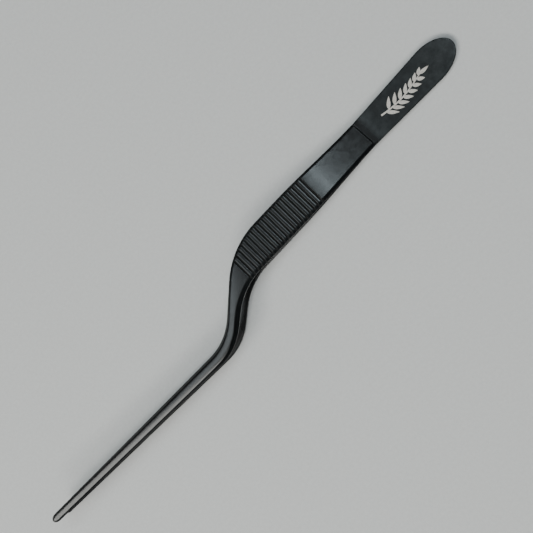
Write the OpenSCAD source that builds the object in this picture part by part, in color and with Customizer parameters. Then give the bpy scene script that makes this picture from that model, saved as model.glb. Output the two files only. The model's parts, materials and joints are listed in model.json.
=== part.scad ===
// Offset tweezers: two bent spring-steel blades, mirror images of each other, spot-welded face to
// face at the head. X runs from the head end to the tips, the tips are offset to +Y, and the
// blades open along Z. The finished part lies on its lower blade, on the plane z = 0.

/* [Blade] */
// Length of a blade, from the head end to the tip
blade_len = 200; // [180:1:240]
// Length of the welded head, up to the shoulder where the arms start
head_len = 39; // [34:1:42]
// Greatest width of the head
head_w = 11.4; // [10:0.1:14]
// Length of the rounded end of the head
nose_len = 10; // [6:1:14]
// Width at the shoulder, the narrowest place on the handle
shoulder_w = 9.6; // [8:0.1:10]
// Corner radius of the arm's raised shoulder, seen from above
shoulder_r = 0.7; // [0.2:0.1:1.5]
// Width of the grip
grip_w = 11.4; // [10:0.1:14]
// Distance from the head end to where the grip has its full width
grip_x = 72; // [64:1:76]

/* [Offset bend] */
// Level of the tip section's rear edge, from the handle's centreline
rear_offset = 13.35; // [8:0.05:18]
// Level of the tip section's front edge, from the handle's centreline
front_offset = 17.7; // [12:0.05:22]
// Distance from the head end to the start of the rear edge's bend
rear_bend_x = 82; // [80:1:86]
// Distance from the head end to the start of the front edge's bend
front_bend_x = 91; // [88:1:94]
// Steepest angle of the rear edge across the neck
rear_angle = 40; // [36:1:42]
// Steepest angle of the front edge across the neck
front_angle = 37; // [36:1:42]
// Radius of the rear edge where it leaves the grip
rear_r1 = 29; // [24:1:32]
// Radius of the rear edge where it meets the tip section
rear_r2 = 20; // [16:1:22]
// Radius of the front edge where it leaves the grip
front_r1 = 24; // [18:1:26]
// Radius of the front edge where it meets the tip section
front_r2 = 21; // [16:1:22]

/* [Tip section] */
// Fall of the rear edge towards the tip, per unit of length
rear_taper = 0.021; // [0.01:0.001:0.022]
// Fall of the front edge towards the tip, per unit of length
front_taper = 0.042; // [0.038:0.001:0.044]
// Length of the rounded end of the tip
tip_round = 2.2; // [1:0.1:4]
// Number of gripping teeth gaps cut across the inner face of each tip
serrations = 24; // [10:1:30]
// Spacing of the gripping teeth
serration_pitch = 0.8; // [0.6:0.1:1]
// Depth of the gaps between the gripping teeth
serration_depth = 0.2; // [0.1:0.05:0.3]

/* [Bow and thickness] */
// Height of the arm's outer face over the mid-plane at the shoulder
shoulder_z = 1.95; // [1.8:0.05:2.4]
// Slope of the outer face where it leaves the shoulder, in degrees
root_slope = 8.6; // [7:0.1:10]
// Slope of the outer face along the grip, in degrees
grip_slope = 4.2; // [3.5:0.1:5]
// Fall of the outer face along the tip section, per unit of length
tip_slope = 0.012; // [0:0.001:0.02]
// Distance from the head end to the end of the bow near the shoulder
root_bow_end = 56; // [50:1:60]
// Distance from the head end to the start of the bow across the neck
neck_bow_start = 88; // [80:1:92]
// Distance from the head end to the end of the bow across the neck
neck_bow_end = 118; // [108:1:124]
// Thickness of each blade in the head
tab_t = 1.2; // [1:0.1:1.5]
// Gap between the arms at the shoulder
root_gap = 0.3; // [0.2:0.05:0.5]
// Thickness of the hollow-ground shank, which is the spring
shank_t = 1; // [0.8:0.1:1.4]
// Depth of the hollow ground into the shank's outer face
shank_hollow = 0.55; // [0.1:0.05:0.7]
// Thickness of the grip
grip_t = 2; // [1.6:0.1:2.4]
// Thickness of the neck
neck_t = 2.2; // [1.8:0.1:2.6]
// Thickness of the tip
tip_t = 1.3; // [1:0.1:1.6]

/* [Grip grooves] */
// Number of grooves across the grip
grooves = 20; // [5:1:20]
// Distance from the head end to the first groove
groove_x = 62.35; // [62:0.05:64]
// Spacing of the grooves
groove_pitch = 1.715; // [1.4:0.005:1.72]
// Width of a groove at the surface
groove_w = 0.7; // [0.4:0.05:1]
// Depth of a groove
groove_depth = 0.4; // [0.2:0.05:0.6]
// Distance from a groove's end to the edge of the grip
groove_margin = 0.9; // [0.5:0.1:2]

/* [Spot welds] */
// Number of spot welds
welds = 3; // [2:1:4]
// Diameter of a weld nugget
weld_d = 3; // [2:0.1:4]
// Thickness of a weld nugget
weld_t = 1.2; // [0.8:0.1:1.6]
// Distance from the head end to the first weld
weld_x = 9.5; // [7:0.5:12]
// Spacing of the welds
weld_pitch = 10; // [6:0.5:10]

/* [Hidden] */
$fn = 48;
coating = "#24282a";
steel = "#9a9c9b";
cut_h = 1; // how far a cutter stands out of the face that it cuts
shank_start = head_len + 7; // from the shoulder to here the blade thins down to shank_t
shank_end = shank_start + 4; // from here it thickens again, up to grip_t at grip_x
hollow_end = groove_x - 1; // the hollow runs from the shoulder to here
tip_x = blade_len - tip_round;
taper_run = 8; // length over which the tip section's taper comes in

function smooth(u) = let (v = max(0, min(1, u))) v * v * (3 - 2 * v);
function blend(from, to, u) = from + (to - from) * smooth(u);
function spread(from, to, steps) = [for (i = [0 : steps]) from + (to - from) * i / steps];

// Half width of the straight handle at x
function handle_half(x) =
    x < nose_len ? head_w / 2 * sqrt(1 - pow(1 - x / nose_len, 2))
    : x < head_len ? (head_w + (shoulder_w - head_w) * (x - nose_len) / (head_len - nose_len)) / 2
    : blend(shoulder_w, grip_w, (x - head_len) / (grip_x - head_len)) / 2;

// An S-bend from level y0 to level y1: an arc of radius ra, a straight at an angle, an arc of radius rb
function bend_end(x0, y0, y1, angle, ra, rb) =
    x0 + (ra + rb) * sin(angle) + (y1 - y0 - (ra + rb) * (1 - cos(angle))) / tan(angle);
function s_bend(x, x0, y0, y1, angle, ra, rb) =
    let (
        x1 = bend_end(x0, y0, y1, angle, ra, rb),
        xa = x0 + ra * sin(angle),
        xb = x1 - rb * sin(angle)
    )
    x < x0 ? y0
    : x < xa ? y0 + ra - sqrt(pow(ra, 2) - pow(x - x0, 2))
    : x < xb ? y0 + ra * (1 - cos(angle)) + (x - xa) * tan(angle)
    : x < x1 ? y1 - rb + sqrt(pow(rb, 2) - pow(x1 - x, 2))
    : y1;

// A fall that starts gently at x = 0 and then runs straight
function taper_in(x) =
    x < 0 ? 0
    : x < taper_run ? pow(x, 2) / (2 * taper_run)
    : x - taper_run / 2;

rear_end = bend_end(rear_bend_x, -grip_w / 2, rear_offset, rear_angle, rear_r1, rear_r2);
front_end = bend_end(front_bend_x, grip_w / 2, front_offset, front_angle, front_r1, front_r2);
function rear_line(x) =
    s_bend(x, rear_bend_x, -grip_w / 2, rear_offset, rear_angle, rear_r1, rear_r2)
    - rear_taper * taper_in(x - rear_end + taper_run / 2);
function front_line(x) =
    s_bend(x, front_bend_x, grip_w / 2, front_offset, front_angle, front_r1, front_r2)
    - front_taper * taper_in(x - front_end + taper_run / 2);
tip_y = (rear_line(tip_x) + front_line(tip_x)) / 2;
function tip_pinch(x) = sqrt(1 - pow(max(0, x - tip_x) / tip_round, 2));

// Both edges of the blade at x, seen from above
function rear_edge(x) =
    x < grip_x ? -handle_half(x)
    : x < tip_x ? rear_line(x)
    : tip_y + (rear_line(tip_x) - tip_y) * tip_pinch(x);
function front_edge(x) =
    x < grip_x ? handle_half(x)
    : x < tip_x ? front_line(x)
    : tip_y + (front_line(tip_x) - tip_y) * tip_pinch(x);

// How far the rounded corner of the shoulder cuts into the arm's width at x
function corner_cut(x) =
    let (left = max(0, shoulder_r - (x - head_len))) shoulder_r - sqrt(pow(shoulder_r, 2) - pow(left, 2));

// Depth of the shank's hollow at x
function hollow(x) =
    let (u = max(0, min(1, (x - head_len) / (hollow_end - head_len)))) 4 * shank_hollow * u * (1 - u);

// Height of the outer face over the mid-plane: a bow, the straight grip, a bow, the straight tip section
function bow(x, run, slope0, slope1) =
    let (u = max(0, min(run, x))) slope0 * u + (slope1 - slope0) * pow(u, 2) / (2 * run);
function outer_z(x) =
    shoulder_z
    + bow(x - head_len, root_bow_end - head_len, tan(root_slope), tan(grip_slope))
    + tan(grip_slope) * max(0, min(x, neck_bow_start) - root_bow_end)
    + bow(x - neck_bow_start, neck_bow_end - neck_bow_start, tan(grip_slope), -tip_slope)
    - tip_slope * max(0, x - neck_bow_end)
    - hollow(x);

// Thickness of the arm at x
root_t = shoulder_z - root_gap / 2;
function arm_t(x) =
    x < shank_start ? blend(root_t, shank_t, (x - head_len) / (shank_start - head_len))
    : x < grip_x ? blend(shank_t, grip_t, (x - shank_end) / (grip_x - shank_end))
    : x < neck_bow_end ? blend(grip_t, neck_t, (x - neck_bow_start) / (neck_bow_end - neck_bow_start))
    : neck_t + (tip_t - neck_t) * (x - neck_bow_end) / (blade_len - neck_bow_end);
function inner_z(x) = outer_z(x) - arm_t(x);

// Outlines
nose_x = [for (a = [0 : 7.5 : 90]) nose_len * (1 - cos(a))];
arm_x = concat(
    spread(head_len, head_len + shoulder_r, 5),
    spread(head_len + 3, grip_x, 9),
    spread(rear_bend_x, front_end + taper_run, 30),
    [for (a = [0 : 11.25 : 90]) tip_x + tip_round * sin(a)]
);
tab_x = concat(nose_x, [head_len]);
side_x = concat(
    spread(head_len, shank_start, 5),
    spread(shank_end, hollow_end, 6),
    spread(hollow_end + 2, grip_x, 4),
    spread(neck_bow_start, neck_bow_end, 4),
    [blade_len]
);
function reversed(list) = [for (i = [len(list) - 1 : -1 : 0]) list[i]];
tab_outline = concat(
    [for (x = tab_x) [x, -handle_half(x)]],
    [for (x = reversed(tab_x)) if (x > 0) [x, handle_half(x)]]
);
arm_outline = concat(
    [for (x = arm_x) [x, rear_edge(x) + corner_cut(x)]],
    [for (x = reversed(arm_x)) if (x < blade_len) [x, front_edge(x) - corner_cut(x)]]
);
arm_side = concat(
    [for (x = side_x) [x, outer_z(x)]],
    [for (x = reversed(side_x)) [x, inner_z(x)]]
);

// The lie of the finished part: it rests on the corner of its head end and on the lower arm's bow
rest_pitch = max([for (x = side_x) atan2(outer_z(x) - tab_t, x)]);
low_x = -tab_t * sin(rest_pitch);
high_x = blade_len * cos(rest_pitch) + outer_z(blade_len) * sin(rest_pitch);
low_y = min([for (p = arm_outline) p.y]);
high_y = max([for (p = arm_outline) p.y]);
module lying() {
    translate([-(low_x + high_x) / 2, -(low_y + high_y) / 2, tab_t * cos(rest_pitch)])
        rotate([0, -rest_pitch, 0])
            children();
}

// One half of the head, with its share of each weld nugget cut out of its inner face
module head_tab() {
    difference() {
        linear_extrude(tab_t) polygon(tab_outline);
        weld_nuggets();
    }
}

module weld_nuggets() {
    for (i = [0 : welds - 1])
        translate([weld_x + i * weld_pitch, 0, 0])
            cylinder(d = weld_d, h = weld_t, center = true);
}

// A V-shaped cutter along Y, with its point at depth below the face and open above it
module v_cutter(width, depth, length) {
    half = width / 2 * (depth + cut_h) / depth;
    rotate([90, 0, 0])
        linear_extrude(length, center = true)
            polygon([[0, -depth], [half, cut_h], [-half, cut_h]]);
}

module grip_grooves() {
    for (i = [0 : grooves - 1]) {
        x = groove_x + i * groove_pitch;
        rear = rear_edge(x) + groove_margin;
        front = front_edge(x) - groove_margin;
        translate([x, (rear + front) / 2, outer_z(x)])
            rotate([0, -grip_slope, 0])
                v_cutter(groove_w, groove_depth, front - rear);
    }
}

module tip_serrations() {
    for (i = [1 : serrations]) {
        x = blade_len - i * serration_pitch;
        translate([x, tip_y, inner_z(x)])
            mirror([0, 0, 1])
                v_cutter(serration_pitch * 0.6, serration_depth, grip_w);
    }
}

module arm() {
    difference() {
        intersection() {
            linear_extrude(2 * outer_z(neck_bow_end)) polygon(arm_outline);
            translate([0, high_y + cut_h, 0])
                rotate([90, 0, 0])
                    linear_extrude(high_y - low_y + 2 * cut_h) polygon(arm_side);
        }
        grip_grooves();
        tip_serrations();
    }
}

module upper_head_tab() {
    color(coating) lying() head_tab();
}

module lower_head_tab() {
    color(coating) lying() mirror([0, 0, 1]) head_tab();
}

module spot_welds() {
    color(steel) lying() weld_nuggets();
}

module upper_arm() {
    color(coating) lying() arm();
}

module lower_arm() {
    color(coating) lying() mirror([0, 0, 1]) arm();
}

upper_head_tab();
lower_head_tab();
spot_welds();
upper_arm();
lower_arm();
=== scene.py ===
"""Offset tweezers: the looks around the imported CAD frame.

Each blade is one continuous lofted mesh, built in the blade's own frame in millimetres (X from the
head end to the tips, Y to the side of the offset, Z up from the plane between the blades) and then
put into the row frame, which the record's head mount gives.
"""

import json
import math

import bmesh
import bpy
import numpy as np
from mathutils import Matrix, Vector


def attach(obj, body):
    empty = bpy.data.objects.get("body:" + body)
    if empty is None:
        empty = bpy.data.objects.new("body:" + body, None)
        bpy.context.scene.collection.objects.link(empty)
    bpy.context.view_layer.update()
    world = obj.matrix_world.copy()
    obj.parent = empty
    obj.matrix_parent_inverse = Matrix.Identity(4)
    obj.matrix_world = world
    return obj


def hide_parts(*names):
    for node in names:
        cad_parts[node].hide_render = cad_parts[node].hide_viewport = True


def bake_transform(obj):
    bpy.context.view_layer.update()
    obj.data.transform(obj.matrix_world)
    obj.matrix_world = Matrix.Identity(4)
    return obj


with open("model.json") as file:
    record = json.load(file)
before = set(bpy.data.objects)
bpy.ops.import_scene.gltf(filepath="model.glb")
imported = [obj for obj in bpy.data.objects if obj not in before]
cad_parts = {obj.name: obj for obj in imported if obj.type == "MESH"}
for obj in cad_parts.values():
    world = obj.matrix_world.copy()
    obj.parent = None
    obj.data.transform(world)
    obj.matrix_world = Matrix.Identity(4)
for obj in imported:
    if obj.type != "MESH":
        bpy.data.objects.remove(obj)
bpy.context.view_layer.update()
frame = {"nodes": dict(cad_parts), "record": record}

MM = 0.001

# ---------------------------------------------------------------- the blade's own frame
MOUNT_X, TAB_T = 20.0, 1.2  # the upper head mount's place in the blade frame


def blade_frame():
    """The matrix from the blade frame, in millimetres, to the row frame, in metres."""
    mount = next(m for m in frame["record"]["mounts"] if m["name"] == "upper_head_face")
    pitch = math.atan2(-mount["axis"][0], mount["axis"][2])
    return (
        Matrix.Translation(Vector(mount["pos_m"]))
        @ Matrix.Rotation(-pitch, 4, "Y")
        @ Matrix.Scale(MM, 4)
        @ Matrix.Translation(Vector((-MOUNT_X, 0, -TAB_T)))
    )


TO_ROW = blade_frame()

# ---------------------------------------------------------------- outline, seen from above (mm)
BLADE_LEN, HEAD_LEN = 200.0, 39.0
HEAD_W, SHOULDER_W, GRIP_W = 11.4, 9.6, 11.4
NOSE_LEN, GRIP_X = 10.0, 72.0
TIP_ROUND = 2.2
TIP_X = BLADE_LEN - TIP_ROUND
TAPER_RUN = 8.0
REAR_ANGLE, FRONT_ANGLE = math.radians(40), math.radians(37)
REAR = {"x0": 82.0, "y0": -GRIP_W / 2, "y1": 13.35, "angle": REAR_ANGLE, "ra": 29.0, "rb": 20.0}
FRONT = {"x0": 91.0, "y0": GRIP_W / 2, "y1": 17.7, "angle": FRONT_ANGLE, "ra": 24.0, "rb": 21.0}
REAR_TAPER, FRONT_TAPER = 0.021, 0.042


def smooth(u):
    v = np.clip(u, 0, 1)
    return v * v * (3 - 2 * v)


def mix(a, b, u):
    return a + (b - a) * smooth(u)


def soft_max(a, b, k):
    """The greater of a and b, with the crease between them rounded over about k."""
    h = np.clip(0.5 + 0.5 * (a - b) / k, 0, 1)
    return b + (a - b) * h + k * h * (1 - h)


def soft_min(a, b, k):
    return -soft_max(-a, -b, k)


def bend_end(b):
    run = (b["ra"] + b["rb"]) * math.sin(b["angle"])
    rise = b["y1"] - b["y0"] - (b["ra"] + b["rb"]) * (1 - math.cos(b["angle"]))
    return b["x0"] + run + rise / math.tan(b["angle"])


def s_bend(x, b):
    """Arc, straight, arc from level y0 to level y1."""
    x1 = bend_end(b)
    xa = b["x0"] + b["ra"] * math.sin(b["angle"])
    xb = x1 - b["rb"] * math.sin(b["angle"])
    first = b["y0"] + b["ra"] - np.sqrt(b["ra"] ** 2 - np.clip(x - b["x0"], 0, xa - b["x0"]) ** 2)
    middle = b["y0"] + b["ra"] * (1 - math.cos(b["angle"])) + (x - xa) * math.tan(b["angle"])
    last = b["y1"] - b["rb"] + np.sqrt(b["rb"] ** 2 - np.clip(x1 - x, 0, x1 - xb) ** 2)
    return np.where(x < xa, first, np.where(x < xb, middle, last))


def taper_in(x):
    u = np.maximum(x, 0)
    return np.where(u < TAPER_RUN, u**2 / (2 * TAPER_RUN), u - TAPER_RUN / 2)


def handle_half(x):
    head = HEAD_W + (SHOULDER_W - HEAD_W) * (x - NOSE_LEN) / (HEAD_LEN - NOSE_LEN)
    arm = mix(SHOULDER_W, GRIP_W, (x - HEAD_LEN) / (GRIP_X - HEAD_LEN))
    return np.where(x < HEAD_LEN, head, arm) / 2


def rear_edge(x):
    line = s_bend(x, REAR) - REAR_TAPER * taper_in(x - bend_end(REAR) + TAPER_RUN / 2)
    return np.where(x < GRIP_X, -handle_half(x), line)


def front_edge(x):
    line = s_bend(x, FRONT) - FRONT_TAPER * taper_in(x - bend_end(FRONT) + TAPER_RUN / 2)
    return np.where(x < GRIP_X, handle_half(x), line)


# ---------------------------------------------------------------- side profile (mm)
SHOULDER_Z = 1.95
ROOT_SLOPE, GRIP_SLOPE, TIP_SLOPE = math.tan(math.radians(8.6)), math.tan(math.radians(4.2)), -0.012
BOW_X = (39.0, 56.0, 88.0, 118.0)  # start and end of the first and of the second bend
SHANK_T, GRIP_T, NECK_T, TIP_T = 1.0, 2.0, 2.2, 1.3
ROOT_GAP, SEAM = 0.3, 0.02
SHANK_HOLLOW, HOLLOW_END = 0.55, 61.35
SHOULDER_STEEP = 0.95
SHOULDER_BACK = 0.22  # the shoulder's top edge lies this far past HEAD_LEN
SHOULDER_R = 0.7  # corner radius of the shoulder, seen from above
RUNOUT = 0.16  # the head thickens by this much up to the foot of the shoulder
HOLLOW_SOFT = 4.0  # the hollow runs out into the grip over this length on each side of its end
SHOULDER_SKEW = 0.045  # the shoulder isn't quite square to the handle


def hollow(x):
    """Depth of the hollow ground into the outer face of the shank."""
    run = HOLLOW_END - HEAD_LEN
    u = np.clip((x - HEAD_LEN) / run, 0, 1)
    near_end = np.maximum(0, HOLLOW_SOFT - np.abs(x - HOLLOW_END))
    return 4 * SHANK_HOLLOW * u * (1 - u) + SHANK_HOLLOW / run * near_end**2 / HOLLOW_SOFT


def outer_z(x):
    a, b, c, d = BOW_X
    u, v = np.clip(x, a, b) - a, np.clip(x, c, d) - c
    first = ROOT_SLOPE * u + (GRIP_SLOPE - ROOT_SLOPE) * u**2 / (2 * (b - a))
    second = GRIP_SLOPE * v + (TIP_SLOPE - GRIP_SLOPE) * v**2 / (2 * (d - c))
    return (
        SHOULDER_Z
        + first
        + GRIP_SLOPE * (np.clip(x, b, c) - b)
        + second
        + TIP_SLOPE * np.maximum(0, x - d)
        - hollow(x)
    )


def arm_t(x):
    root = SHOULDER_Z - ROOT_GAP / 2
    shank = mix(root, SHANK_T, (x - HEAD_LEN) / 7)
    grip = mix(SHANK_T, GRIP_T, (x - HEAD_LEN - 11) / (GRIP_X - HEAD_LEN - 11))
    neck = mix(GRIP_T, NECK_T, (x - BOW_X[2]) / (BOW_X[3] - BOW_X[2]))
    tip = NECK_T + (TIP_T - NECK_T) * (x - BOW_X[3]) / (BLADE_LEN - BOW_X[3])
    far = np.where(x < BOW_X[3], neck, tip)
    return np.where(x < HEAD_LEN + 7, shank, np.where(x < GRIP_X, grip, far))


def inner_z(x):
    arm = outer_z(x) - arm_t(x)
    gap = mix(SEAM / 2, ROOT_GAP / 2, (x - HEAD_LEN) / 0.5)
    return np.where(x < HEAD_LEN, SEAM / 2, gap + arm - ROOT_GAP / 2)


# ---------------------------------------------------------------- surface detail (mm)
GROOVES, GROOVE_X, GROOVE_PITCH = 20, 62.35, 1.715
GROOVE_W, GROOVE_DEPTH = 0.74, 0.56
LAND_CROWN = 0.075  # a ridge's top falls by this much on the way to the middle of a groove
TEETH, TEETH_PITCH, TEETH_DEPTH = 24, 0.8, 0.2
TAB_BEVEL = 0.28  # width of the head's bevel, and the limit of its height
# Width of the arm's bevels at places along X, on the rear and the front edge
REAR_BEVEL = (38, 92, 104, 118, 150, 196), (0.9, 0.95, 0.85, 1.15, 1.1, 0.7)
FRONT_BEVEL = (38, 92, 108, 118, 130, 196), (1.2, 1.25, 1.6, 1.15, 0.95, 0.75)
BEVEL_TURN = 0.35  # share of a bevel's width over which it turns down
BEVEL_SLOPE = 0.81
BEVEL_FALL = 1 - BEVEL_TURN / 2  # a bevel's height, for a slope and a width of 1
BEVEL_PART = 0.62  # a bevel takes at most this share of the blade's thickness
# Rounding of the bevels' and grooves' creases, of the shoulder's top edge and of its foot
EDGE_SOFT, CREASE_SOFT, FOOT_SOFT = 0.05, 0.012, 0.02


def bevel_width(x, side):
    """Width of the outer edge's bevel; side is -1 for the rear edge and +1 for the front edge."""
    places, widths = FRONT_BEVEL if side > 0 else REAR_BEVEL
    return mix(TAB_BEVEL, np.interp(x, places, widths), (x - 35.5) / 2.5)


def bevel(d, width, height):
    """Fall of the surface at distance d inside an edge whose bevel is no higher than height."""
    slope = np.minimum(BEVEL_SLOPE, height / (width * BEVEL_FALL))
    w = np.clip(1 - d / width, 0, 1) / BEVEL_TURN
    turn = np.minimum(w, 1)
    return slope * width * BEVEL_TURN * (turn**3 - turn**4 / 2 + np.maximum(0, w - 1))


def from_groove(x):
    """Distance along X from the middle of the nearest groove."""
    phase = (x - GROOVE_X) / GROOVE_PITCH
    return np.abs(phase - np.clip(np.round(phase), 0, GROOVES - 1)) * GROOVE_PITCH


def groove_cut(x):
    """Depth of the grip's grooves at x: narrow valleys between gently crowned lands."""
    phase = (x - GROOVE_X) / GROOVE_PITCH
    off = from_groove(x)
    valley = soft_max(GROOVE_DEPTH * (1 - off / (GROOVE_W / 2)), 0 * off, EDGE_SOFT)
    inside = smooth(phase + 0.5) * smooth(GROOVES - 0.5 - phase)
    land = LAND_CROWN * np.clip(1 - off / (GROOVE_PITCH / 2), 0, 1) ** 2 * inside
    return valley + land


def shoulder_drop(u):
    """Fall of the shoulder's wall, towards the head: a sharp top edge, then a ground slope."""
    return soft_max(-u * SHOULDER_STEEP, 0 * u, CREASE_SOFT)


def crown(x, across):
    """Fall of the outer face towards its sides: slight on the handle, rounder from the neck on."""
    height = mix(0.05, 0.3, (x - 96) / 30) * (1 - 0.45 * smooth((x - 150) / 50))
    return height * np.abs(2 * across - 1) ** 2.2


def outer_height(x, y, d_rear, d_front, across):
    """Height of the outer face. d_rear and d_front are the distances from the two edges; across
    runs from 0 at the rear edge to 1 at the front edge."""
    d = np.minimum(d_rear, d_front)
    t = np.where(x < HEAD_LEN, TAB_T - SEAM / 2, arm_t(x))
    runout = RUNOUT * smooth((x - 30.5) / 7.5) ** 2
    tab = TAB_T + runout - bevel(d, TAB_BEVEL, TAB_BEVEL)
    in_corner = np.maximum(0, SHOULDER_R - d)
    corner = SHOULDER_R - np.sqrt(np.maximum(0, SHOULDER_R**2 - in_corner**2))
    top = outer_z(np.maximum(x, HEAD_LEN)) - crown(x, across)
    rear = bevel(d_rear, bevel_width(np.maximum(x, 38), -1), BEVEL_PART * t)
    front = bevel(d_front, bevel_width(np.maximum(x, 38), 1), BEVEL_PART * t)
    side = soft_min(top - np.maximum(rear, front), top - groove_cut(x), EDGE_SOFT)
    wall = top - shoulder_drop(x - HEAD_LEN - SHOULDER_BACK - corner + SHOULDER_SKEW * y)
    near = x < HEAD_LEN + 2
    arm = np.where(near, soft_min(side, wall, CREASE_SOFT), side)
    return np.where(x < HEAD_LEN - 1.6, tab, np.where(near, soft_max(tab, arm, FOOT_SOFT), arm))


def teeth_cut(x):
    """Depth of the gaps between the teeth on the inner face of the tips."""
    phase = (BLADE_LEN - x) / TEETH_PITCH
    nearest = np.clip(np.round(phase), 1, TEETH)
    off = np.abs(phase - nearest) * TEETH_PITCH
    return TEETH_DEPTH * np.clip(1 - off / (TEETH_PITCH * 0.3), 0, 1)


# ---------------------------------------------------------------- the blade's mesh
def add_object(name, data):
    obj = bpy.data.objects.new(name, data)
    bpy.context.scene.collection.objects.link(obj)
    return obj


def steps(a, b, n):
    return list(np.linspace(a, b, n + 1)[:-1])


def row_places():
    """Where the rings of the loft lie along X, between the nose and the tip's round end."""
    head = ((NOSE_LEN, 30, 16), (30, 37.6, 12), (37.6, 38.1, 8))
    # Closest at the shoulder
    shank = ((38.1, 39.9, 90), (39.9, 46, 14), (46, 60.4, 20), (60.4, 61.9, 12))
    rows = [x for start, end, count in head + shank for x in steps(start, end, count)]
    half = GROOVE_W / 2
    fine = [0.85 * half, half, 1.18 * half, 1.5 * half, 0.6, GROOVE_PITCH / 2]
    middle = [-0.6 * half, -0.3 * half, 0, 0.3 * half, 0.6 * half]
    offsets = [-f for f in fine[:-1][::-1]] + middle + fine
    for i in range(GROOVES):
        rows += [GROOVE_X + i * GROOVE_PITCH + f for f in offsets]
    end = GROOVE_X + (GROOVES - 0.5) * GROOVE_PITCH + 0.4
    teeth_start = BLADE_LEN - (TEETH + 1) * TEETH_PITCH
    rows += steps(end, teeth_start, 110)
    rows += steps(teeth_start, TIP_X, int(round((TIP_X - teeth_start) / 0.1)))
    return np.array(rows)


def outline_rows():
    """Points of both edges for each ring, and the direction and scale of the lines inside them."""
    a = np.radians(np.linspace(0, 90, 19)[:-1])
    half = HEAD_W / 2
    nose_pt = np.stack([NOSE_LEN * (1 - np.cos(a)), half * np.sin(a)], 1)
    nose_in = np.stack([np.cos(a) / NOSE_LEN, -np.sin(a) / half], 1)
    nose_in /= np.linalg.norm(nose_in, axis=1)[:, None]

    x = row_places()
    e = 1e-3
    front_slope = (front_edge(x + e) - front_edge(x - e)) / (2 * e)
    rear_slope = (rear_edge(x + e) - rear_edge(x - e)) / (2 * e)
    zero = np.zeros_like(x)

    b = np.radians(np.linspace(0, 90, 17))
    tip_y = float(rear_edge(TIP_X) + front_edge(TIP_X)) / 2
    tip_half = float(front_edge(TIP_X) - rear_edge(TIP_X)) / 2
    tip_pt = np.stack([TIP_X + TIP_ROUND * np.sin(b), tip_half * np.cos(b)], 1)
    tip_in = np.stack([-np.sin(b) / TIP_ROUND, -np.cos(b) / tip_half], 1)
    tip_in /= np.linalg.norm(tip_in, axis=1)[:, None]

    flip = np.array([1, -1])
    middle_front = np.stack([x, front_edge(x)], 1)
    middle_rear = np.stack([x, rear_edge(x)], 1)
    in_front = np.stack([zero, -np.sqrt(1 + front_slope**2)], 1)
    in_rear = np.stack([zero, np.sqrt(1 + rear_slope**2)], 1)
    lift = np.array([0, tip_y])
    front = np.concatenate([nose_pt, middle_front, tip_pt + lift])
    rear = np.concatenate([nose_pt * flip, middle_rear, tip_pt * flip + lift])
    return (
        front,
        np.concatenate([nose_in, in_front, tip_in]),
        rear,
        np.concatenate([nose_in * flip, in_rear, tip_in * flip]),
    )


BAND = np.array((0, 0.04, 0.28, 0.54, 0.66, 0.74, 0.82, 0.91, 1))  # places across each outer bevel
FACE = 14  # strips across the flat of the outer face
INNER_ARC, INNER_FACE = 7, 8  # points round an inner edge, strips across the inner face
FAR = 99.0  # too far from an edge, or too wide a limit, to have any effect


def blade_rings():
    """Rings of points, one row per place along the blade, going once round the section."""
    front, in_front, rear, in_rear = outline_rows()
    n = len(front)
    xs = np.clip((front[:, 0] + rear[:, 0]) / 2, 0, BLADE_LEN)
    half_gap = np.linalg.norm(front - rear, axis=1) / 2
    columns = []

    def outer_point(p, d_rear, d_front, across):
        z = outer_height(p[:, 0], p[:, 1], d_rear, d_front, across)
        columns.append(np.column_stack([p, z]))

    far = np.full(n, FAR)
    r_rear, r_front = bevel_width(xs, -1), bevel_width(xs, 1)
    nose_cap = np.where(xs < NOSE_LEN, TAB_BEVEL, FAR)
    r_rear, r_front = np.minimum(r_rear, nose_cap), np.minimum(r_front, nose_cap)

    rear_in = [rear + in_rear * (r_rear * t)[:, None] for t in BAND]
    front_in = [front + in_front * (r_front * t)[:, None] for t in BAND]
    width = np.maximum(2 * half_gap, 1e-6)

    def place(p):
        return np.clip((p[:, 1] - rear[:, 1]) / width, 0, 1)

    for p, t in zip(rear_in, BAND):
        outer_point(p, r_rear * t, far, place(p))
    for k in range(1, FACE):
        f = k / FACE
        p = rear_in[-1] * (1 - f) + front_in[-1] * f
        span = np.linalg.norm(front_in[-1] - rear_in[-1], axis=1)
        outer_point(p, r_rear + span * f, r_front + span * (1 - f), place(p))
    for p, t in zip(front_in[::-1], BAND[::-1]):
        outer_point(p, far, r_front * t, place(p))

    thin = arm_t(np.maximum(xs, HEAD_LEN))
    to_tips = (xs - 96) / 20
    most = mix(0.2, 0.42, to_tips) * np.where(xs < HEAD_LEN, TAB_T, thin)
    r_in = np.minimum(mix(0.22, 0.6, to_tips), most)
    phi = np.linspace(0, np.pi / 2, INNER_ARC)

    def inner_point(p, lift):
        columns.append(np.column_stack([p, inner_z(p[:, 0]) + teeth_cut(p[:, 0]) + lift]))

    for t in phi:
        inner_point(front + in_front * (r_in * (1 - np.cos(t)))[:, None], r_in * (1 - np.sin(t)))
    a = front + in_front * r_in[:, None]
    b = rear + in_rear * r_in[:, None]
    for k in range(1, INNER_FACE):
        f = k / INNER_FACE
        inner_point(a * (1 - f) + b * f, 0)
    for t in phi[::-1]:
        inner_point(rear + in_rear * (r_in * (1 - np.cos(t)))[:, None], r_in * (1 - np.sin(t)))
    return np.stack(columns, 1)


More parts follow.
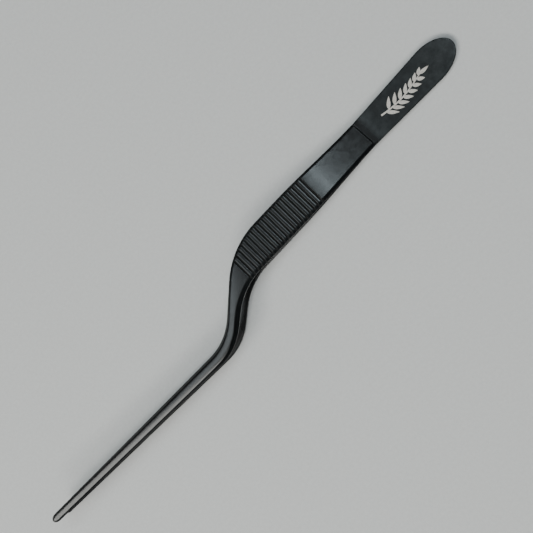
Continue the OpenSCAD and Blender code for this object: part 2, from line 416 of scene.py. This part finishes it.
def wear_and_highlight_of(points):
    """How abraded the coating is at each point, 0 to 1, beside the grooves and towards the tip; the
    lighter colour it gives is partly a painted highlight at the tip.
    """
    x = points[..., 0]
    grip_end = GROOVE_X + (GROOVES - 1) * GROOVE_PITCH
    on_grip = smooth((x - GROOVE_X + 0.5) / 0.5) * smooth((grip_end + 0.5 - x) / 0.5)
    rim = np.exp(-(((from_groove(x) - 0.4) / 0.1) ** 2)) * on_grip
    # The tip's lighter colour is partly a painted highlight standing in for the light at the tip
    # end.
    tip = smooth((x - 178) / 22)
    return np.clip(0.4 * rim + 0.8 * tip, 0, 1)


def is_inner(points):
    """1 for the points of the inner face, 0 for the others."""
    return np.broadcast_to(np.arange(points.shape[1]) >= 2 * len(BAND) + FACE - 1, points.shape[:2])


def matt_and_shade_of(points):
    """How matt the coating is, and how far painted shade darkens it, 0 to 1: in the grooves and on
    the inner face of the tip section, between the blades.
    """
    x = points[..., 0]
    groove = smooth((GROOVE_W / 2 + 0.04 - from_groove(x)) / 0.14)
    return np.where(is_inner(points), mix(0.1, 1.0, (x - 108) / 14), groove)


def grey_share_of(points):
    """How far the coating is a lighter grey, 0 to 1: on the head, most just before the shoulder,
    and faintly on the grip.
    """
    x = points[..., 0]
    amount = 0.62 + 0.38 * smooth((x - 30) / 5) + 0.12 * smooth((14 - x) / 12)
    head = smooth((HEAD_LEN - 0.6 - x) / 3.4) * amount
    grip = 0.12 * smooth((x - HOLLOW_END) / 3) * smooth((112 - x) / 12)
    return np.where(is_inner(points), 0, np.maximum(head, grip))


def make_blade(name, side):
    """side is 1 for the upper blade and -1 for its mirror image below."""
    rings = blade_rings()
    n, m = rings.shape[:2]
    # matt carries painted shade as well as roughness: it darkens the grooves and the inner faces
    # between the blades.
    marks = {"wear_and_highlight": wear_and_highlight_of(rings), "matt": matt_and_shade_of(rings), "grey_share": grey_share_of(rings)}
    rings[..., 2] *= side
    verts = rings.reshape(-1, 3)
    faces = []
    for i in range(n - 1):
        for j in range(m):
            k = (j + 1) % m
            quad = (i * m + j, i * m + k, (i + 1) * m + k, (i + 1) * m + j)
            faces.append(quad if side < 0 else quad[::-1])
    mesh = bpy.data.meshes.new(name)
    mesh.from_pydata([tuple(v) for v in verts], [], faces)
    for key, value in marks.items():
        flat = value.reshape(-1).astype(np.float32)
        mesh.attributes.new(key, "FLOAT", "POINT").data.foreach_set("value", flat)
    close_ends(mesh)
    mesh.transform(TO_ROW)
    mesh.polygons.foreach_set("use_smooth", [True] * len(mesh.polygons))
    mesh.update()
    return add_object(name, mesh)


def close_ends(mesh):
    """Welds the first and last rings, where the outline comes to a point, into closed walls."""
    bm = bmesh.new()
    bm.from_mesh(mesh)
    bmesh.ops.remove_doubles(bm, verts=bm.verts, dist=2e-4)
    bmesh.ops.dissolve_degenerate(bm, edges=bm.edges, dist=1e-5)
    loose = [f for f in bm.faces if f.calc_area() < 1e-9]
    if loose:
        bmesh.ops.delete(bm, geom=loose, context="FACES_ONLY")
    open_edges = [e for e in bm.edges if len(e.link_faces) == 1]
    if open_edges:
        bmesh.ops.holes_fill(bm, edges=open_edges, sides=0)
    bmesh.ops.triangulate(bm, faces=[f for f in bm.faces if len(f.verts) > 4])
    bmesh.ops.recalc_face_normals(bm, faces=bm.faces)
    bm.to_mesh(mesh)
    bm.free()


# ---------------------------------------------------------------- the etched mark
MARK_Z, MARK_SINK = TAB_T + 0.001, 0.02  # the plates reach down into the head by nearly MARK_SINK
STEM_H, LEAF_H, BUD_H = 0.018, 0.016, 0.014  # unequal, so that no two tops lie in one plane


def plate(outline, height, out):
    """Adds a thin closed plate with that outline, a list of points in order, to out."""
    verts, faces = out
    following = outline[1:] + outline[:1]
    if sum(p[0] * q[1] - q[0] * p[1] for p, q in zip(outline, following)) < 0:
        outline = outline[::-1]
    base, n = len(verts), len(outline)
    for z in (MARK_Z - MARK_SINK, MARK_Z + height):
        verts += [(x, y, z) for x, y in outline]
    faces.append(tuple(base + i for i in range(n))[::-1])
    faces.append(tuple(base + n + i for i in range(n)))
    for i in range(n):
        k = (i + 1) % n
        faces.append((base + i, base + k, base + n + k, base + n + i))


def leaf(root, angle, length, width):
    """Outline of a leaf: widest two fifths of the way along, pointed at its end."""
    u = np.linspace(0, 1, 13)
    half = width / 2 * np.sin(np.pi * u**0.72) ** 0.9
    along = np.concatenate([u, u[-2:0:-1]]) * length
    aside = np.concatenate([half, -half[-2:0:-1]])
    c, s = math.cos(angle), math.sin(angle)
    return [(root[0] + p * c - q * s, root[1] + p * s + q * c) for p, q in zip(along, aside)]


def ribbon(points, widths):
    """Outline of a strip along a line of points, with a width at each point."""
    p = np.array(points, float)
    d = np.gradient(p, axis=0)
    d /= np.linalg.norm(d, axis=1)[:, None]
    nrm = np.stack([-d[:, 1], d[:, 0]], 1) * (np.array(widths) / 2)[:, None]
    left, right = p + nrm, p - nrm
    return [tuple(q) for q in np.concatenate([left, right[::-1]])]


def make_mark():
    """A generic water-plant sprig: a curved stem with leaves on both sides."""
    out = ([], [])
    x = np.linspace(31.0, 13.6, 40)

    def stem(at):
        return 0.9 * np.sin((31.0 - at) / 17.4 * math.pi * 1.1) - 0.1

    plate(ribbon(np.stack([x, stem(x)], 1), np.linspace(0.55, 0.28, 40)), STEM_H, out)
    for i in range(7):
        at = 28.6 - 2.25 * i
        length = 4.0 - 0.24 * i
        for s in (-1, 1):
            root = (at + 0.55 * s, float(stem(np.array(at + 0.55 * s))) + 0.2 * s)
            plate(leaf(root, math.pi - s * (0.78 - 0.03 * i), length, 1.18), LEAF_H, out)
    plate(leaf((13.9, float(stem(np.array(13.9)))), math.pi - 0.06, 3.6, 1.15), BUD_H, out)
    mesh = bpy.data.meshes.new("sprig_mark")
    mesh.from_pydata(out[0], [], out[1])
    mesh.transform(TO_ROW)
    mesh.update()
    return add_object("sprig_mark", mesh)


# ---------------------------------------------------------------- materials
def new_material(name):
    mat = bpy.data.materials.new(name)
    mat.use_nodes = True
    nt = mat.node_tree
    bsdf = next(n for n in nt.nodes if n.type == "BSDF_PRINCIPLED")
    return mat, nt, bsdf


def link(nt, a, out, b, into):
    nt.links.new(a.outputs[out], b.inputs[into])


def noise(nt, coords, scale, detail=3.0, rough=0.55):
    n = nt.nodes.new("ShaderNodeTexNoise")
    n.inputs["Scale"].default_value = scale
    n.inputs["Detail"].default_value = detail
    n.inputs["Roughness"].default_value = rough
    link(nt, coords, "Object", n, "Vector")
    return n


def ramp(nt, src, out, lo, hi, c0, c1):
    r = nt.nodes.new("ShaderNodeValToRGB")
    r.color_ramp.elements[0].position, r.color_ramp.elements[1].position = lo, hi
    r.color_ramp.elements[0].color, r.color_ramp.elements[1].color = (*c0, 1), (*c1, 1)
    link(nt, src, out, r, "Fac")
    return r


def spread(nt, src, out, lo, hi, to_lo, to_hi):
    m = nt.nodes.new("ShaderNodeMapRange")
    for key, val in (("From Min", lo), ("From Max", hi), ("To Min", to_lo), ("To Max", to_hi)):
        m.inputs[key].default_value = val
    link(nt, src, out, m, "Value")
    return m


MIX_A, MIX_B, MIX_OUT = 6, 7, 2  # the Mix node's sockets for colours


def attribute(nt, name):
    n = nt.nodes.new("ShaderNodeAttribute")
    n.attribute_name = name
    return n


def mix_color(nt, fac, fac_out, a, a_out, b, b_out):
    m = nt.nodes.new("ShaderNodeMix")
    m.data_type = "RGBA"
    link(nt, fac, fac_out, m, "Factor")
    nt.links.new(a.outputs[a_out], m.inputs[MIX_A])
    nt.links.new(b.outputs[b_out], m.inputs[MIX_B])
    return m


def bumped(nt, bsdf, layers):
    """Bumps the surface with layers of noise, each (noise, strength, distance)."""
    last = None
    for src, strength, distance in layers:
        b = nt.nodes.new("ShaderNodeBump")
        b.inputs["Strength"].default_value = strength
        b.inputs["Distance"].default_value = distance
        link(nt, src, "Fac", b, "Height")
        if last:
            link(nt, last, "Normal", b, "Normal")
        last = b
    link(nt, last, "Normal", bsdf, "Normal")


def black_coating():
    """Satin black coating: fine grain, faint mottling, a lighter grey head, painted shade darkening
    the grooves and inner faces, and abraded tips lightened partly as a painted highlight.
    """
    mat, nt, bsdf = new_material("black_coating")
    co = nt.nodes.new("ShaderNodeTexCoord")
    cloud = noise(nt, co, 130, 4.0)
    grain = noise(nt, co, 5200, 2.0, 0.6)
    fleck = noise(nt, co, 1500, 3.0, 0.7)
    mottle = noise(nt, co, 520, 6.0, 0.72)
    dark = ramp(nt, mottle, "Fac", 0.3, 0.72, (0.0024, 0.0029, 0.0031), (0.0056, 0.0067, 0.0071))
    grey = ramp(nt, mottle, "Fac", 0.3, 0.7, (0.0185, 0.0228, 0.0244), (0.0315, 0.0372, 0.0390))
    grey_share = attribute(nt, "grey_share")
    base = mix_color(nt, grey_share, "Fac", dark, "Color", grey, "Color")
    # Lighter abraded colour on the groove rims and towards the tip; at the tip it is partly a
    # painted highlight.
    wear_and_highlight_node = attribute(nt, "wear_and_highlight")
    patch = spread(nt, fleck, "Fac", 0.42, 0.75, 0.0, 1.0)
    amount = nt.nodes.new("ShaderNodeMath")
    amount.operation = "MULTIPLY"
    link(nt, wear_and_highlight_node, "Fac", amount, 0)
    link(nt, patch, "Result", amount, 1)
    abraded_and_highlit = ramp(nt, grain, "Fac", 0.3, 0.7, (0.030, 0.033, 0.033), (0.062, 0.066, 0.064))
    colour = mix_color(nt, amount, "Value", base, MIX_OUT, abraded_and_highlit, "Color")
    # Painted shade: the matt attribute darkens the grooves and the inner face of the tip section
    # towards a near-black colour, besides making them rougher.
    matt = attribute(nt, "matt")
    shade_colour = ramp(nt, grain, "Fac", 0.3, 0.7, (0.0012, 0.0014, 0.0014), (0.0026, 0.0030, 0.0030))
    shaded_colour = mix_color(nt, matt, "Fac", colour, MIX_OUT, shade_colour, "Color")
    link(nt, shaded_colour, MIX_OUT, bsdf, "Base Color")
    smooth_rough = spread(nt, mottle, "Fac", 0.3, 0.72, 0.14, 0.22)
    rough = nt.nodes.new("ShaderNodeMapRange")
    rough.inputs["To Max"].default_value = 0.55
    link(nt, matt, "Fac", rough, "Value")
    link(nt, smooth_rough, "Result", rough, "To Min")
    link(nt, rough, "Result", bsdf, "Roughness")
    bsdf.inputs["IOR"].default_value = 1.52
    bumped(nt, bsdf, [(cloud, 0.12, 0.00012), (grain, 0.35, 0.000012), (fleck, 0.16, 0.00002)])
    return mat


def weld_steel():
    """Bare fused steel with cloudy heat colours."""
    mat, nt, bsdf = new_material("weld_steel")
    co = nt.nodes.new("ShaderNodeTexCoord")
    cloud = noise(nt, co, 900, 4.0)
    tint = ramp(nt, cloud, "Fac", 0.3, 0.7, (0.30, 0.27, 0.24), (0.50, 0.50, 0.50))
    link(nt, tint, "Color", bsdf, "Base Color")
    bsdf.inputs["Metallic"].default_value = 1.0
    rough = spread(nt, cloud, "Fac", 0.3, 0.7, 0.32, 0.5)
    link(nt, rough, "Result", bsdf, "Roughness")
    bumped(nt, bsdf, [(cloud, 0.3, 0.00005)])
    return mat


def etched_white():
    """Laser-etched mark: pale, matt, with the fine speckle of the blasted steel."""
    mat, nt, bsdf = new_material("etched_white")
    co = nt.nodes.new("ShaderNodeTexCoord")
    speck = noise(nt, co, 4200, 3.0, 0.7)
    tint = ramp(nt, speck, "Fac", 0.34, 0.6, (0.50, 0.46, 0.42), (0.82, 0.77, 0.71))
    link(nt, tint, "Color", bsdf, "Base Color")
    rough = spread(nt, speck, "Fac", 0.3, 0.7, 0.55, 0.75)
    link(nt, rough, "Result", bsdf, "Roughness")
    bumped(nt, bsdf, [(speck, 0.3, 0.00001)])
    return mat


def floor_paper():
    """Pale matt studio card with a faint fibre."""
    mat, nt, bsdf = new_material("studio_card")
    co = nt.nodes.new("ShaderNodeTexCoord")
    fibre = noise(nt, co, 900, 4.0, 0.7)
    tint = ramp(nt, fibre, "Fac", 0.3, 0.7, (0.76, 0.755, 0.74), (0.82, 0.815, 0.80))
    link(nt, tint, "Color", bsdf, "Base Color")
    bsdf.inputs["Roughness"].default_value = 0.9
    bsdf.inputs["Specular IOR Level"].default_value = 0.2
    bumped(nt, bsdf, [(fibre, 0.15, 0.00005)])
    return mat


# ---------------------------------------------------------------- pieces
COATING = black_coating()

for piece_name, mirror, tab_node, arm_node in (
    ("upper_blade", 1, "upper_head_tab", "upper_arm"),
    ("lower_blade", -1, "lower_head_tab", "lower_arm"),
):
    blade = make_blade(piece_name, mirror)
    blade.data.materials.append(COATING)
    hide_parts(tab_node, arm_node)
    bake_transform(blade)

mark = make_mark()
mark.data.materials.append(etched_white())
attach(mark, "head")

welds = frame["nodes"]["spot_welds"]
welds.data.materials.clear()
welds.data.materials.append(weld_steel())

# ---------------------------------------------------------------- floor, light, camera
FLOOR_HALF = 2.5
floor_mesh = bpy.data.meshes.new("floor")
corners = [(x * FLOOR_HALF, y * FLOOR_HALF, 0) for x, y in ((-1, -1), (1, -1), (1, 1), (-1, 1))]
floor_mesh.from_pydata(corners, [], [(0, 1, 2, 3)])
floor_mesh.materials.append(floor_paper())
floor = add_object("floor", floor_mesh)
floor.location.z = -0.00002

world = bpy.data.worlds.new("studio")
bpy.context.scene.world = world
world.use_nodes = True
background = next(n for n in world.node_tree.nodes if n.type == "BACKGROUND")
background.inputs["Strength"].default_value = 1.0
sky_co = world.node_tree.nodes.new("ShaderNodeTexCoord")
sky_axes = world.node_tree.nodes.new("ShaderNodeSeparateXYZ")
link(world.node_tree, sky_co, "Generated", sky_axes, "Vector")
sky = ramp(world.node_tree, sky_axes, "Z", 0.60, 0.99, (0.055, 0.056, 0.058), (0.21, 0.21, 0.21))
link(world.node_tree, sky, "Color", background, "Color")


def softbox(name, target, direction, across, distance, size, radiance, colour):
    """An area light facing target (mm, blade frame) from direction, its width along across."""
    data = bpy.data.lights.new(name, "AREA")
    data.shape = "RECTANGLE"
    data.size, data.size_y = size
    data.energy = radiance * math.pi * size[0] * size[1]
    data.color = colour
    turn = TO_ROW.to_3x3().normalized()
    back = (turn @ Vector(direction)).normalized()
    side = turn @ Vector(across)
    side = (side - back * side.dot(back)).normalized()
    place = (TO_ROW @ Vector(target)) + back * distance
    axes = Matrix((side, back.cross(side), back)).transposed()
    add_object(name, data).matrix_world = Matrix.Translation(place) @ axes.to_4x4()


HANDLE = (1, 0, 0)  # along the handle
softbox(
    "key",
    target=(170, 14, 5),
    direction=(0.43, 0.20, 0.88),
    across=(0.91, 0.41, 0),
    distance=1.0,
    size=(0.38, 0.80),
    radiance=7.0,
    colour=(1.0, 1.0, 0.96),
)
softbox(
    "overhead",
    target=(56, 0, 3),
    direction=(-0.235, -0.088, 0.97),
    across=HANDLE,
    distance=3.0,
    size=(0.42, 1.2),
    radiance=13.0,
    colour=(0.80, 0.94, 1.0),
)
softbox(
    "soft",
    target=(100, 4, 5),
    direction=(0.25, -0.07, 0.97),
    across=HANDLE,
    distance=2.0,
    size=(0.44, 0.5),
    radiance=2.9,
    colour=(0.85, 0.95, 1.0),
)
softbox(
    "fill",
    target=(60, 0, 0),
    direction=(-0.80, 0.10, 0.60),
    across=(0, 1, 0),
    distance=1.4,
    size=(0.9, 0.4),
    radiance=1.0,
    colour=(1.0, 1.0, 1.0),
)

# Fitted to the outline in the photograph: millimetres in the blade frame, and the roll in radians
EYE = {
    "distance": 420.0,
    "lean": (-0.1974, 0.07366, 1.0),
    "aim": (90.23, 6.043, 0.0),
    "roll": 3.95498,
}
LENS = 89.6


def make_camera():
    """The photograph's viewing angle, given in the blade frame: almost straight down."""
    back = Vector(EYE["lean"]).normalized()
    along = Vector((1, 0, 0)) - back * back.x
    along.normalize()
    aside = back.cross(along)
    c, s = math.cos(EYE["roll"]), math.sin(EYE["roll"])
    right, up = along * c - aside * s, along * s + aside * c
    turn = TO_ROW.to_3x3().normalized() @ Matrix((right, up, back)).transposed()
    place = TO_ROW @ (Vector(EYE["aim"]) + back * EYE["distance"])
    data = bpy.data.cameras.new("camera")
    data.lens, data.sensor_width = LENS, 36.0
    data.clip_start, data.clip_end = 0.01, 20.0
    camera = add_object("camera", data)
    camera.matrix_world = Matrix.Translation(place) @ turn.to_4x4()
    bpy.context.scene.camera = camera


make_camera()
